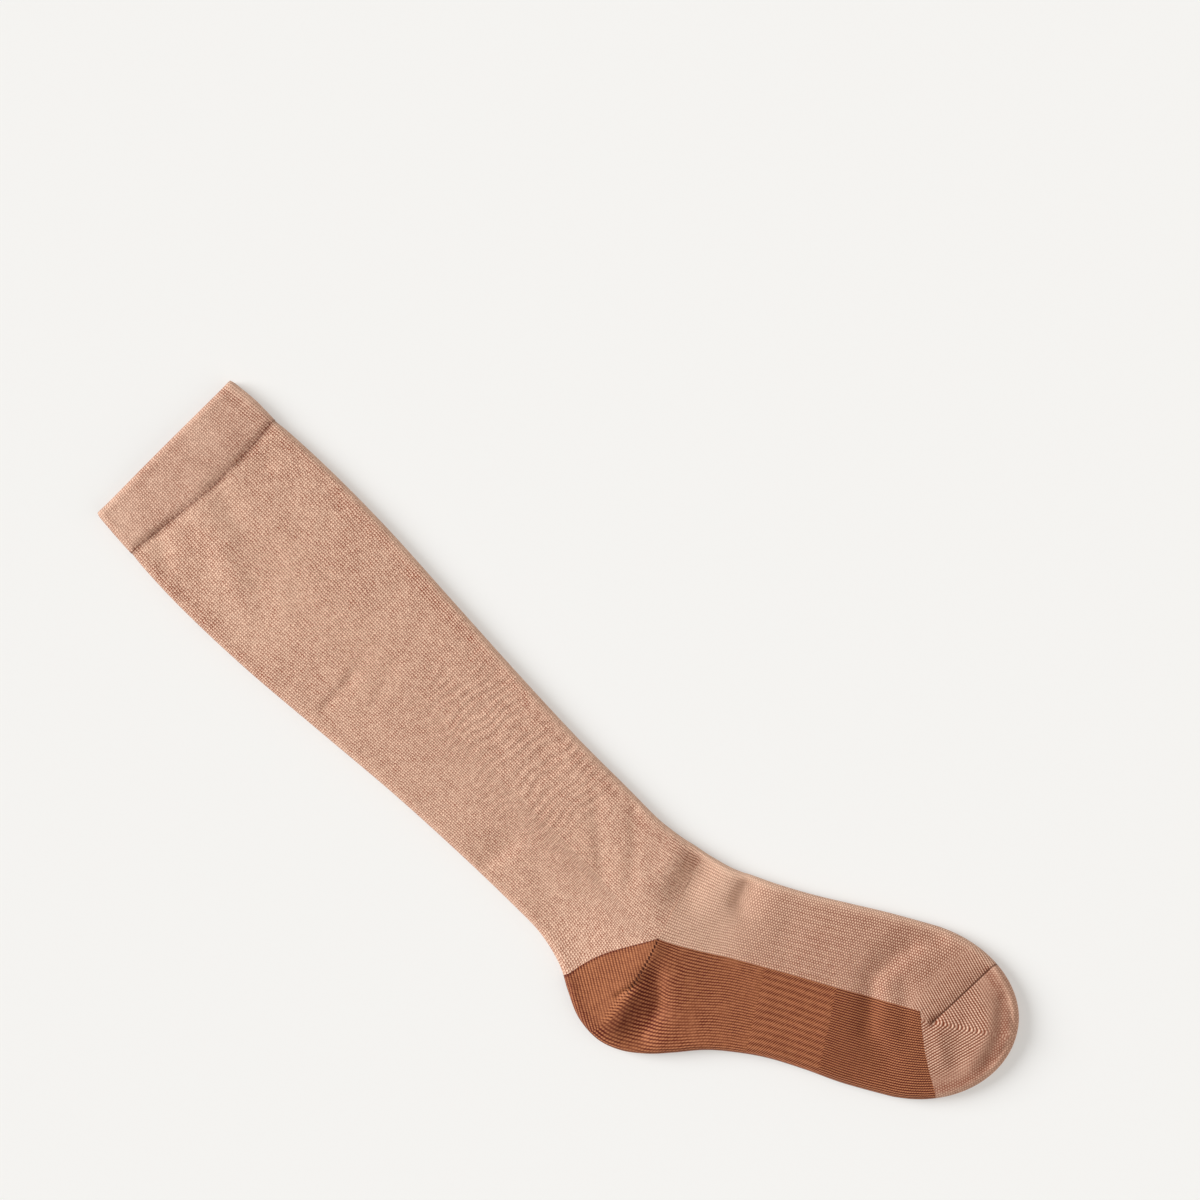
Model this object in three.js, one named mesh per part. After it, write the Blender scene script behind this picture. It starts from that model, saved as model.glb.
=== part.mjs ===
// A knee-high compression stocking lying flat on its side: a tube of ribbed stretch knit
// with a turned welt, a pocket heel, a sole, an arch band and a closed toe.
//
// Millimetres. +Y runs up the leg to the welt, +X is the front of the leg and the top of the
// foot, and +Z points up from the surface that the stocking lies on. The origin is on that
// surface, under the middle of the ankle.
import * as THREE from 'three';

// Driving dimensions
const legLength = 344; // from the middle of the ankle to the top edge of the welt
const weltDepth = 28;
const footTurn = 30; // degrees that the foot's line turns from the leg's line
const footLength = 200.2; // from the middle of the ankle to the tip of the toe
const toeLength = 57; // the rounded end of the foot
const toeCentre = -4.4; // where the tip lies across the foot's line
const soleHalfWidth = 46.9; // from the tip's line to the sole's edge, where the toe begins
const instepHalfWidth = 43.2; // and to the instep's edge

const weltWall = 2.0; // the knit turned over double
const legWall = 1.2;
const footWall = 1.5; // heel, sole, instep and toe are knitted thicker
const foldRadius = 4.1; // half the height of the folded edges at the front and the back
const toeHeight = 12.5;
const seamGap = 0.3;

const archRibs = 10; // on the upper layer, from the side line to the sole's edge
const archRibRise = 0.45;

// Round a section, 0 degrees is the front edge, 90 the middle of the upper layer, 180 the back
// edge and 270 the middle of the lower layer. Each folded edge takes this much on either side.
const foldTurn = 36;
const sideTurn = 90; // the side line, where the sole's yarn gives way to the instep's

// Sections across the leg, from the welt down
const legSections = [
  { up: legLength, behind: 46.4, ahead: 47.8, height: 10.4 },
  { up: legLength - weltDepth, behind: 49.7, ahead: 51.3, height: 10.8 },
  { up: 280, behind: 51.2, ahead: 53.0, height: 9.8 },
  { up: 235, behind: 49.8, ahead: 52.3, height: 10.0 },
  { up: 185, behind: 45.7, ahead: 49.4, height: 9.6 },
  { up: 135, behind: 41.5, ahead: 46.7, height: 9.4 },
  { up: 90, behind: 39.3, ahead: 45.0, height: 9.6 },
  { up: 55, behind: 38.5, ahead: 45.0, height: 10.0 },
  { up: 33, behind: 38.9, ahead: 44.9, height: 10.8 },
];

// Sections that fan out round the heel, each from the back edge to the front edge. The side line
// crosses them a little ahead of the middle.
const heelSections = [
  { backX: -43.2, backY: 15.0, frontX: 45.9, frontY: 22.5, height: 12.0, sideAhead: 0.5 },
  { backX: -49.6, backY: 2.5, frontX: 47.0, frontY: 15.5, height: 13.2, sideAhead: 2.0 },
  { backX: -55.5, backY: -11.0, frontX: 48.6, frontY: 8.5, height: 14.0, sideAhead: 3.8 },
  { backX: -56.6, backY: -25.6, frontX: 50.0, frontY: 1.2, height: 14.4, sideAhead: 5.4 },
  { backX: -52.2, backY: -38.1, frontX: 51.8, frontY: -5.9, height: 14.0, sideAhead: 6.8 },
  { backX: -43.9, backY: -49.0, frontX: 53.8, frontY: -12.7, height: 13.2, sideAhead: 6.7 },
  { backX: -34.7, backY: -57.5, frontX: 56.1, frontY: -18.1, height: 12.4, sideAhead: 5.4 },
];

// Sections across the foot, from the heel to where the toe begins to round
const footSections = [
  { along: 48, sole: 53.2, instep: 39.4, height: 11.8, sideAhead: 3.0 },
  { along: 62, sole: 50.4, instep: 38.3, height: 11.4, sideAhead: 2.1 },
  { along: 80, sole: 48.7, instep: 37.8, height: 11.2, sideAhead: 1.4 },
  { along: 100, sole: 49.4, instep: 38.3, height: 11.4, sideAhead: 1.1 },
  { along: 120, sole: 51.1, instep: 38.9, height: 12.0, sideAhead: 1.4 },
];

// Soft folds pressed into the upper layer along a line of places, with their widths to its left
// and its right: a trough has a depth, a ridge a negative one
const folds = [
  { line: [[-46, 316.4], [0, 313], [47, 313]], left: 3.2, right: 3.2, depth: 0.6 }, // under the welt
  { line: [[57, 16], [29, 10]], left: 8.0, right: 7.0, depth: -1.0 },
  { line: [[56, 3], [29, -3]], left: 12.0, right: 8.5, depth: 3.6 }, // across the instep's bend
  { line: [[62, -21], [45, -27]], left: 9.0, right: 4.5, depth: 1.9 },
  // Along the heel's gore line, and the hollow under it
  { line: [[-5, -13], [-24, -20], [-44, -27]], left: 5.0, right: 10.0, depth: -1.9 },
  { line: [[-13, -24], [-18, -31], [-22, -34.5]], left: 5.0, right: 7.5, depth: 2.2 },
  { line: [[-28, -37.5], [-39, -40.5]], left: 6.5, right: 15.0, depth: 3.0 },
  // Behind the toe, along its linking seam, and inside its rim
  { line: [[101, -111], [85, -102], [64, -102], [45, -118], [41, -136]], left: 5.5, right: 9, depth: 1.7 },
  { line: [[74, -117], [57, -134]], left: 5.0, right: 5.0, depth: 0.9 },
  { line: [[112, -142], [72, -140]], left: 5.5, right: 3.5, depth: 1.0 },
  { line: [[106, -160], [93, -170], [78, -176]], left: 3.0, right: 4.0, depth: 0.6 },
];

const radians = THREE.MathUtils.degToRad;
const alongFoot = new THREE.Vector2(Math.sin(radians(footTurn)), -Math.cos(radians(footTurn)));
const acrossFoot = new THREE.Vector2(Math.cos(radians(footTurn)), Math.sin(radians(footTurn)));

// A point of the foot in plan: its distance from the ankle along the foot, and across to the instep
function onFoot(along, across) {
  return alongFoot.clone().multiplyScalar(along).addScaledVector(acrossFoot, across);
}

// Lines across the upper layer where one knit meets the next. Each runs from the back edge to the
// side line, which it meets a given distance past the ankle, and on to the front edge. A bow moves
// the middle of its back stretch down the foot. The lower layer mirrors them.
const seams = {
  welt: {
    back: new THREE.Vector2(-47.2, 317.2),
    sideAlong: -270.9,
    front: new THREE.Vector2(48.3, 313.6),
  },
  heelTop: {
    back: new THREE.Vector2(-44.4, 9.0),
    sideAlong: 10.2,
    front: new THREE.Vector2(50.0, 3.0),
    bow: -2.8,
  },
  heelEnd: { back: new THREE.Vector2(-42.0, -49.6), sideAlong: 13.0 },
  archStart: { back: onFoot(69.0, -50.7), sideAlong: 67.0 },
  archEnd: { back: onFoot(107.5, -50.4), sideAlong: 104.8 },
  toe: { back: onFoot(168.2, -45.5), sideAlong: 148.6, front: onFoot(179.8, 29.5), bow: -1.2 },
};

// Every section in order, ending in the toe's quarter turns, which close on the tip
function allSections() {
  const toeStart = footLength - toeLength;
  const sections = [];
  for (const { up, behind, ahead, height } of legSections) {
    sections.push({
      back: new THREE.Vector2(-behind, up),
      front: new THREE.Vector2(ahead, up),
      height,
      sideAhead: 0,
      rimWidth: foldRadius,
      rimHeight: foldRadius,
    });
  }
  for (const { backX, backY, frontX, frontY, height, sideAhead } of heelSections) {
    sections.push({
      back: new THREE.Vector2(backX, backY),
      front: new THREE.Vector2(frontX, frontY),
      height,
      sideAhead,
      rimWidth: foldRadius,
      rimHeight: foldRadius,
    });
  }
  for (const { along, sole, instep, height, sideAhead } of footSections) {
    sections.push({
      back: onFoot(along, -sole),
      front: onFoot(along, instep),
      height,
      sideAhead,
      rimWidth: foldRadius,
      rimHeight: foldRadius,
    });
  }
  const toeSteps = 12;
  for (let step = 0; step <= toeSteps; step++) {
    const angle = (Math.PI / 2) * (step / toeSteps);
    const open = Math.cos(angle); // 1 where the toe begins, 0 at the tip
    const along = toeStart + toeLength * Math.sin(angle);
    const pastRim = Math.max(0, along - (footLength - foldRadius)) / foldRadius;
    const closing = Math.sqrt(Math.max(0, 1 - pastRim * pastRim));
    const slope = (Math.tan(Math.min(angle, 1.5)) * soleHalfWidth) / toeLength;
    const halfWidth = (open * (soleHalfWidth + instepHalfWidth)) / 2;
    const rimHeight = foldRadius * closing;
    sections.push({
      back: onFoot(along, toeCentre - soleHalfWidth * open),
      front: onFoot(along, toeCentre + instepHalfWidth * open),
      height: 2 * foldRadius + (toeHeight - 2 * foldRadius) * open * closing,
      sideAhead: 1.3 * open,
      rimWidth: Math.min(foldRadius * Math.hypot(1, slope), 0.8 * halfWidth),
      rimHeight,
    });
  }
  return sections;
}

const sections = allSections();
const tipStation = sections.length - 1;
const backEdge = new THREE.SplineCurve(sections.map((s) => s.back));
const frontEdge = new THREE.SplineCurve(sections.map((s) => s.front));
const rims = new THREE.SplineCurve(sections.map((s) => new THREE.Vector2(s.rimWidth, s.rimHeight)));
const middles = new THREE.SplineCurve(sections.map((s) => new THREE.Vector2(s.height, s.sideAhead)));

// How far the folds lower the upper layer at a point in plan. Left and right of its line a fold
// has its own width.
function foldDepth(x, y) {
  let lowered = 0;
  for (const { line, left, right, depth } of folds) {
    let nearest = Infinity;
    let width = left;
    for (let index = 1; index < line.length; index += 1) {
      const [fromX, fromY] = line[index - 1];
      const runX = line[index][0] - fromX;
      const runY = line[index][1] - fromY;
      const length = Math.hypot(runX, runY);
      const share = ((x - fromX) * runX + (y - fromY) * runY) / (length * length);
      const held = THREE.MathUtils.clamp(share, 0, 1);
      const away = Math.hypot(x - fromX - held * runX, y - fromY - held * runY);
      const aside = (runX * (y - fromY) - runY * (x - fromX)) / length;
      if (away < nearest) {
        const lean = THREE.MathUtils.clamp(aside / Math.max(away, 1e-6), -1, 1);
        nearest = away;
        width = (left + right) / 2 + lean * (left - right) / 2;
      }
    }
    lowered += depth * Math.exp(-((nearest / width) ** 2));
  }
  return lowered;
}

// The outer face of the cloth. A station counts sections from the welt's edge; turn is in degrees.
function outerPoint(station, turn) {
  const share = station / tipStation;
  const back = backEdge.getPoint(share);
  const front = frontEdge.getPoint(share);
  const rim = rims.getPoint(share);
  rim.y = Math.min(rim.y, foldRadius);
  const halfWidth = back.distanceTo(front) / 2;
  const flatHalf = Math.max(0, halfWidth - rim.x);
  const middle = middles.getPoint(share);

  const round = ((turn % 360) + 360) % 360;
  const upper = round <= 180;
  const fromFront = upper ? round : 360 - round;
  const inQuarter = fromFront <= 90 ? fromFront : 180 - fromFront;
  const side = fromFront <= 90 ? 1 : -1;

  let across = flatHalf;
  let rise = rim.y;
  if (inQuarter < foldTurn) {
    const bend = (Math.PI / 2) * (inQuarter / foldTurn);
    across += rim.x * Math.cos(bend);
    rise *= Math.sin(bend);
  } else {
    const fromFold = (inQuarter - foldTurn) / (90 - foldTurn);
    across += fromFold * (side * middle.y - flatHalf);
  }
  const centre = back.clone().add(front).multiplyScalar(0.5);
  const outward = front.clone().sub(back).normalize();
  const plan = centre.addScaledVector(outward, side * across);
  if (!upper) return new THREE.Vector3(plan.x, plan.y, foldRadius - rise);

  const fromMiddle = flatHalf > 0 ? Math.min(1, across / flatHalf) : 1;
  const dome = Math.max(0, middle.x - 2 * foldRadius);
  const clearOfFold = THREE.MathUtils.smoothstep(inQuarter, foldTurn * 0.5, foldTurn * 1.15);
  const top = foldRadius + rise + dome * (1 - fromMiddle ** 2) ** 2;
  return new THREE.Vector3(plan.x, plan.y, top - clearOfFold * foldDepth(plan.x, plan.y));
}

// Straight out of the cloth's outer face
function outwardFrom(station, turn) {
  if (station > tipStation - 1e-6) return new THREE.Vector3(alongFoot.x, alongFoot.y, 0);
  const ahead = Math.min(station + 0.02, tipStation - 0.001);
  const behind = Math.max(0, ahead - 0.04);
  const along = outerPoint(ahead, turn).sub(outerPoint(behind, turn));
  const around = outerPoint(station, turn + 1).sub(outerPoint(station, turn - 1));
  return around.cross(along).normalize();
}

// The station where the cloth at this turn lies a given distance past a line in plan
function stationBeyond(from, past, turn, distance) {
  let low = 0.5;
  let high = tipStation;
  for (let halving = 0; halving < 40; halving++) {
    const station = (low + high) / 2;
    const point = outerPoint(station, turn);
    const gone = (point.x - from.x) * past.x + (point.y - from.y) * past.y;
    if (gone < distance) low = station;
    else high = station;
  }
  return (low + high) / 2;
}

// The station where the cloth at this turn lies a given distance past a seam
function stationPast(seam, turn, distance) {
  const ankle = new THREE.Vector2(0, 0);
  const sideStation = stationBeyond(ankle, alongFoot, sideTurn, seam.sideAlong);
  const side = outerPoint(sideStation, sideTurn);
  const fromFront = turn <= 180 ? turn : 360 - turn;
  const other = fromFront < sideTurn ? seam.front : seam.back;
  const past = new THREE.Vector2(other.y - side.y, side.x - other.x).normalize();
  if (past.dot(alongFoot) < 0) past.negate();
  const toBack = THREE.MathUtils.clamp((fromFront - sideTurn) / (90 - foldTurn), 0, 1);
  const bow = (seam.bow ?? 0) * Math.sin(Math.PI * toBack);
  return stationBeyond(side, past, turn, distance + bow);
}

// The turns from one stop to the next, each stretch split evenly
function turnsThrough(stops) {
  const turns = [stops[0].at];
  for (let i = 1; i < stops.length; i++) {
    const start = stops[i - 1].at;
    for (let step = 1; step <= stops[i].steps; step++) {
      turns.push(start + ((stops[i].at - start) * step) / stops[i].steps);
    }
  }
  return turns;
}

// A closed wall of cloth. Rows run down the stocking from its start to its end, and columns run
// round it through the turns. A ring joins its last column to its first, and a wall that ends at
// the tip closes there.
function clothWall({ turns, rows, start, end, wall, ring, endsAtTip, relief }) {
  const corners = [];
  const faces = [];
  const columns = turns.length;
  const layerSize = endsAtTip ? rows * columns + 1 : (rows + 1) * columns;

  for (const layer of ['outer', 'inner']) {
    const lastRow = endsAtTip ? rows - 1 : rows;
    for (let row = 0; row <= lastRow; row++) {
      for (const turn of turns) {
        const station = THREE.MathUtils.lerp(start(turn), end(turn), row / rows);
        const outward = outwardFrom(station, turn);
        const moved = layer === 'inner' ? -wall : relief ? relief(turn) : 0;
        corners.push(outerPoint(station, turn).addScaledVector(outward, moved));
      }
    }
    if (endsAtTip) {
      const outward = outwardFrom(tipStation, 0);
      corners.push(outerPoint(tipStation, 0).addScaledVector(outward, layer === 'inner' ? -wall : 0));
    }
  }

  const corner = (layer, row, column) => {
    if (endsAtTip && row === rows) return layer * layerSize + rows * columns;
    return layer * layerSize + row * columns + (column % columns);
  };
  const quad = (a, b, c, d) => {
    if (a !== b && b !== c && a !== c) faces.push(a, c, b);
    if (a !== c && c !== d && a !== d) faces.push(a, d, c);
  };
  const spans = ring ? columns : columns - 1;
  for (let row = 0; row < rows; row++) {
    for (let column = 0; column < spans; column++) {
      const next = column + 1;
      quad(
        corner(0, row, column),
        corner(0, row + 1, column),
        corner(0, row + 1, next),
        corner(0, row, next),
      );
      quad(
        corner(1, row, column),
        corner(1, row, next),
        corner(1, row + 1, next),
        corner(1, row + 1, column),
      );
    }
  }
  for (let column = 0; column < spans; column++) {
    const next = column + 1;
    quad(corner(0, 0, column), corner(0, 0, next), corner(1, 0, next), corner(1, 0, column));
    if (endsAtTip) continue;
    quad(
      corner(0, rows, column),
      corner(1, rows, column),
      corner(1, rows, next),
      corner(0, rows, next),
    );
  }
  if (!ring) {
    const last = columns - 1;
    for (let row = 0; row < rows; row++) {
      quad(corner(0, row, 0), corner(1, row, 0), corner(1, row + 1, 0), corner(0, row + 1, 0));
      quad(
        corner(0, row, last),
        corner(0, row + 1, last),
        corner(1, row + 1, last),
        corner(1, row, last),
      );
    }
  }

  const geometry = new THREE.BufferGeometry().setFromPoints(corners);
  geometry.setIndex(faces);
  geometry.computeVertexNormals();
  return geometry;
}

const tanKnit = new THREE.MeshStandardMaterial({ color: 0xcb9f83, roughness: 0.9, metalness: 0 });
const weltKnit = new THREE.MeshStandardMaterial({ color: 0xc39a80, roughness: 0.92, metalness: 0 });
const copperKnit = new THREE.MeshStandardMaterial({ color: 0xa2603c, roughness: 0.85, metalness: 0 });

function clothMesh(name, material, shape) {
  const mesh = new THREE.Mesh(clothWall(shape), material);
  mesh.name = name;
  return mesh;
}

// Half the gap between two pieces, as a turn on the flat of the upper layer at the side line
const halfGap = seamGap / 2;
const sideGapTurn = (halfGap * (90 - foldTurn)) / (soleHalfWidth - foldRadius) + 0.05;

const roundTheLeg = turnsThrough([
  { at: 0 },
  { at: foldTurn, steps: 4 },
  { at: sideTurn, steps: 8 },
  { at: 180 - foldTurn, steps: 8 },
  { at: 180 + foldTurn, steps: 8 },
  { at: 360 - sideTurn, steps: 3 },
  { at: 360 - foldTurn, steps: 3 },
  { at: 360, steps: 4 },
]).slice(0, -1);

const overTheInstep = turnsThrough([
  { at: -sideTurn + sideGapTurn },
  { at: -foldTurn, steps: 3 },
  { at: foldTurn, steps: 8 },
  { at: sideTurn - sideGapTurn, steps: 8 },
]);

function underTheSole(upperSteps) {
  return turnsThrough([
    { at: sideTurn + sideGapTurn },
    { at: 180 - foldTurn, steps: upperSteps },
    { at: 180 + foldTurn, steps: 8 },
    { at: 360 - sideTurn - sideGapTurn, steps: 3 },
  ]);
}

function welt() {
  return clothMesh('welt', weltKnit, {
    turns: roundTheLeg,
    rows: 5,
    start: () => 0,
    end: (turn) => stationPast(seams.welt, turn, -halfGap),
    wall: weltWall,
    ring: true,
  });
}

function leg() {
  return clothMesh('leg', tanKnit, {
    turns: roundTheLeg,
    rows: 24,
    start: (turn) => stationPast(seams.welt, turn, halfGap),
    end: (turn) => stationPast(seams.heelTop, turn, -halfGap),
    wall: legWall,
    ring: true,
  });
}

function instep() {
  return clothMesh('instep', tanKnit, {
    turns: overTheInstep,
    rows: 26,
    start: (turn) => stationPast(seams.heelTop, Math.abs(turn), halfGap),
    end: (turn) => stationPast(seams.toe, Math.abs(turn), -halfGap),
    wall: footWall,
  });
}

function heel() {
  return clothMesh('heel', copperKnit, {
    turns: underTheSole(8),
    rows: 12,
    start: (turn) => stationPast(seams.heelTop, turn, halfGap),
    end: (turn) => stationPast(seams.heelEnd, turn, -halfGap),
    wall: footWall,
  });
}

function soleBehindArch() {
  return clothMesh('sole_rear', copperKnit, {
    turns: underTheSole(8),
    rows: 10,
    start: (turn) => stationPast(seams.heelEnd, turn, halfGap),
    end: (turn) => stationPast(seams.archStart, turn, -halfGap),
    wall: footWall,
  });
}

// The arch band's ribs run along the foot on the upper layer. Its underside rests plain.
function archBand() {
  const ribTurn = (180 - foldTurn - sideTurn - sideGapTurn) / archRibs;
  const intoRibs = (turn) => (turn - sideTurn - sideGapTurn) / ribTurn;
  return clothMesh('arch_band', copperKnit, {
    turns: underTheSole(archRibs * 4),
    rows: 6,
    start: (turn) => stationPast(seams.archStart, turn, halfGap),
    end: (turn) => stationPast(seams.archEnd, turn, -halfGap),
    wall: footWall,
    relief: (turn) => {
      const ribs = intoRibs(turn);
      return ribs > archRibs ? 0 : archRibRise * Math.sin(Math.PI * ribs) ** 2;
    },
  });
}

function soleBeforeToe() {
  return clothMesh('sole_front', copperKnit, {
    turns: underTheSole(8),
    rows: 9,
    start: (turn) => stationPast(seams.archEnd, turn, halfGap),
    end: (turn) => stationPast(seams.toe, turn, -halfGap),
    wall: footWall,
  });
}

function toe() {
  return clothMesh('toe', tanKnit, {
    turns: roundTheLeg,
    rows: 14,
    start: (turn) => stationPast(seams.toe, turn, halfGap),
    end: () => tipStation,
    wall: footWall,
    ring: true,
    endsAtTip: true,
  });
}

const stocking = new THREE.Group();
stocking.name = 'compression_stocking';
stocking.add(welt(), leg(), heel(), soleBehindArch(), archBand(), soleBeforeToe(), instep(), toe());

export default stocking;
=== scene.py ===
import math

import bpy
import numpy as np
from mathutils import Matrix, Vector, noise as hills


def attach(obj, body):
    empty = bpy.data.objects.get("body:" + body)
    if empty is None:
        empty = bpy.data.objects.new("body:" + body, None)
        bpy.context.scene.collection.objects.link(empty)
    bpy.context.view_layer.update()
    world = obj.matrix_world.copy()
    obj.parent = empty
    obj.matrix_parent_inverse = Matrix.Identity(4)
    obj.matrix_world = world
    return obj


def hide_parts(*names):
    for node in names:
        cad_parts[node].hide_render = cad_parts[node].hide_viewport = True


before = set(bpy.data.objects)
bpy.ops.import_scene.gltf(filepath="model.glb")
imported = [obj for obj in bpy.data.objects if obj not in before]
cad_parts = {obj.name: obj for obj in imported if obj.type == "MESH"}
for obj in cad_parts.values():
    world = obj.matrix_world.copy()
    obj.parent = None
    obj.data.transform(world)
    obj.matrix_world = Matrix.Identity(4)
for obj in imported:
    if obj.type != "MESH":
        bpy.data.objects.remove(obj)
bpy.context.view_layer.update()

# A knee-high stocking lying on its side. Lengths are in millimetres until a mesh is made.
# +Y runs up the leg, +X is the front of the leg, +Z is up from the floor.
metre = 0.001

stocking = {
    "footTurn": 30.0,  # degrees between the leg's line and the foot's
    "footLength": 200.2,
    "toeLength": 57.0,
    "toeCentre": -4.4,
    "soleHalfWidth": 46.9,
    "instepHalfWidth": 43.2,
    "foldRadius": 4.1,
    "toeHeight": 12.5,
    "foldTurn": 36.0,  # degrees round a section that each folded edge takes to either side
    "sideTurn": 90.0,  # degrees to the side line, where the sole gives way to the instep
}
foldTurn, sideTurn = stocking["foldTurn"], stocking["sideTurn"]

# Across the leg, from the welt down: up, behind, ahead, height
legSections = [
    (344, 46.4, 47.8, 10.4), (316, 49.7, 51.3, 10.8), (280, 51.2, 53.0, 9.8),
    (235, 49.8, 52.3, 10.0), (185, 45.7, 49.4, 9.6), (135, 41.5, 46.7, 9.4),
    (90, 39.3, 45.0, 9.6), (55, 38.5, 45.0, 10.0), (33, 38.9, 44.9, 10.8),
]

# Round the heel: back edge x, y, front edge x, y, height, and the side line ahead of the middle
heelSections = [
    (-43.2, 15.0, 45.9, 22.5, 12.0, 0.5), (-49.6, 2.5, 47.0, 15.5, 13.2, 2.0),
    (-55.5, -11.0, 48.6, 8.5, 14.0, 3.8), (-56.6, -25.6, 50.0, 1.2, 14.4, 5.4),
    (-52.2, -38.1, 51.8, -5.9, 14.0, 6.8), (-43.9, -49.0, 53.8, -12.7, 13.2, 6.7),
    (-34.7, -57.5, 56.1, -18.1, 12.4, 5.4),
]

# Across the foot: along, sole, instep, height, side line ahead
footSections = [
    (48, 53.2, 39.4, 11.8, 3.0), (62, 50.4, 38.3, 11.4, 2.1), (80, 48.7, 37.8, 11.2, 1.4),
    (100, 49.4, 38.3, 11.4, 1.1), (120, 51.1, 38.9, 12.0, 1.4),
]

# Soft folds in the upper layer: a line of places, how wide they are to its left and its right,
# and how deep. A ridge has a negative depth.
largeFolds = [
    ([(-46, 316.4), (0, 313), (47, 313)], 3.2, 3.2, 0.6),  # under the welt
    ([(57, 16), (29, 10)], 8.0, 7.0, -1.0),
    ([(56, 3), (29, -3)], 12.0, 8.5, 3.6),  # across the instep's bend
    ([(62, -21), (45, -27)], 9.0, 4.5, 1.9),
    ([(-5, -13), (-24, -20), (-44, -27)], 5.0, 10.0, -1.9),  # along the heel's gore line
    ([(-13, -24), (-18, -31), (-22, -34.5)], 5.0, 7.5, 2.2),  # the hollow under it
    ([(-28, -37.5), (-39, -40.5)], 6.5, 15.0, 3.0),
    # Behind the toe
    ([(101, -111), (85, -102), (64, -102), (45, -118), (41, -136)], 5.5, 9.0, 1.7),
    ([(74, -117), (57, -134)], 5.0, 5.0, 0.9),
    ([(112, -142), (72, -140)], 5.5, 3.5, 1.0),  # the toe's linking seam
    ([(106, -160), (93, -170), (78, -176)], 3.0, 4.0, 0.6),  # inside the toe's rim
]

footAngle = math.radians(stocking["footTurn"])
alongFoot = np.array([math.sin(footAngle), -math.cos(footAngle)])
acrossFoot = np.array([math.cos(footAngle), math.sin(footAngle)])


def onFoot(along, across):
    return along * alongFoot + across * acrossFoot


# Where one knit meets the next: back edge, how far past the ankle at the side line, front edge,
# and how far it bows down the foot, from the side to the back or over its whole width
seams = {
    "welt": {"back": (-47.2, 317.2), "along": -270.9, "front": (48.3, 313.6), "wideBow": 1.9},
    "heelTop": {"back": (-44.4, 9.0), "along": 10.2, "front": (50.0, 3.0), "bow": -2.8},
    "archStart": {"back": onFoot(69.0, -50.7), "along": 67.0},
    "archEnd": {"back": onFoot(107.5, -50.4), "along": 104.8},
    "toe": {"back": onFoot(168.2, -45.5), "along": 148.6, "front": onFoot(179.8, 29.5),
            "bow": -1.2},
}


def allSections():
    radius = stocking["foldRadius"]
    rows = []  # back x, y, front x, y, height, side ahead, rim width, rim height
    for up, behind, ahead, height in legSections:
        rows.append((-behind, up, ahead, up, height, 0, radius, radius))
    for section in heelSections:
        rows.append((*section, radius, radius))
    for along, sole, instep, height, side in footSections:
        rows.append((*onFoot(along, -sole), *onFoot(along, instep), height, side, radius, radius))
    length, depth = stocking["footLength"], stocking["toeLength"]
    soleHalf, instepHalf = stocking["soleHalfWidth"], stocking["instepHalfWidth"]
    middle = stocking["toeCentre"]
    for angle in np.linspace(0, math.pi / 2, 13):
        openness = math.cos(angle)
        along = length - depth + depth * math.sin(angle)
        pastRim = max(0, along - (length - radius)) / radius
        closing = math.sqrt(max(0, 1 - pastRim**2))
        slope = math.tan(min(angle, 1.5)) * soleHalf / depth
        half = openness * (soleHalf + instepHalf) / 2
        rows.append((
            *onFoot(along, middle - soleHalf * openness),
            *onFoot(along, middle + instepHalf * openness),
            2 * radius + (stocking["toeHeight"] - 2 * radius) * openness * closing,
            1.3 * openness,
            min(radius * math.hypot(1, slope), 0.8 * half),
            radius * closing,
        ))
    return np.array(rows, dtype=float)


sections = allSections()
tipStation = len(sections) - 1


def throughSections(station):
    # Catmull-Rom through the sections, whose rows are the knots
    before = np.clip(np.floor(station).astype(int), 0, tipStation - 1)
    part = (station - before)[..., None]
    knots = [sections[np.clip(before + step, 0, tipStation)] for step in (-1, 0, 1, 2)]
    leave = (knots[2] - knots[0]) * 0.5
    arrive = (knots[3] - knots[1]) * 0.5
    cubic = 2 * knots[1] - 2 * knots[2] + leave + arrive
    square = -3 * knots[1] + 3 * knots[2] - 2 * leave - arrive
    return ((cubic * part + square) * part + leave) * part + knots[1]


def smooth(value, low, high):
    # Smoothly from 0 at low to 1 at high
    share = np.clip((value - low) / (high - low), 0, 1)
    return share * share * (3 - 2 * share)


def foldDepth(x, y, folds):
    # How far the folds lower the cloth at each place
    lowered = np.zeros_like(x)
    for line, left, right, depth in folds:
        nearest = np.full_like(x, 1e9)
        width = np.full_like(x, left)
        for (fromX, fromY), (toX, toY) in zip(line, line[1:]):
            runX, runY = toX - fromX, toY - fromY
            length = math.hypot(runX, runY)
            share = ((x - fromX) * runX + (y - fromY) * runY) / length**2
            held = np.clip(share, 0, 1)
            away = np.hypot(x - fromX - held * runX, y - fromY - held * runY)
            aside = (runX * (y - fromY) - runY * (x - fromX)) / length
            lean = np.clip(aside / np.maximum(away, 1e-6), -1, 1)
            closer = away < nearest
            nearest = np.where(closer, away, nearest)
            width = np.where(closer, (left + right) / 2 + lean * (left - right) / 2, width)
        lowered += depth * np.exp(-((nearest / width) ** 2))
    return lowered


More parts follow.
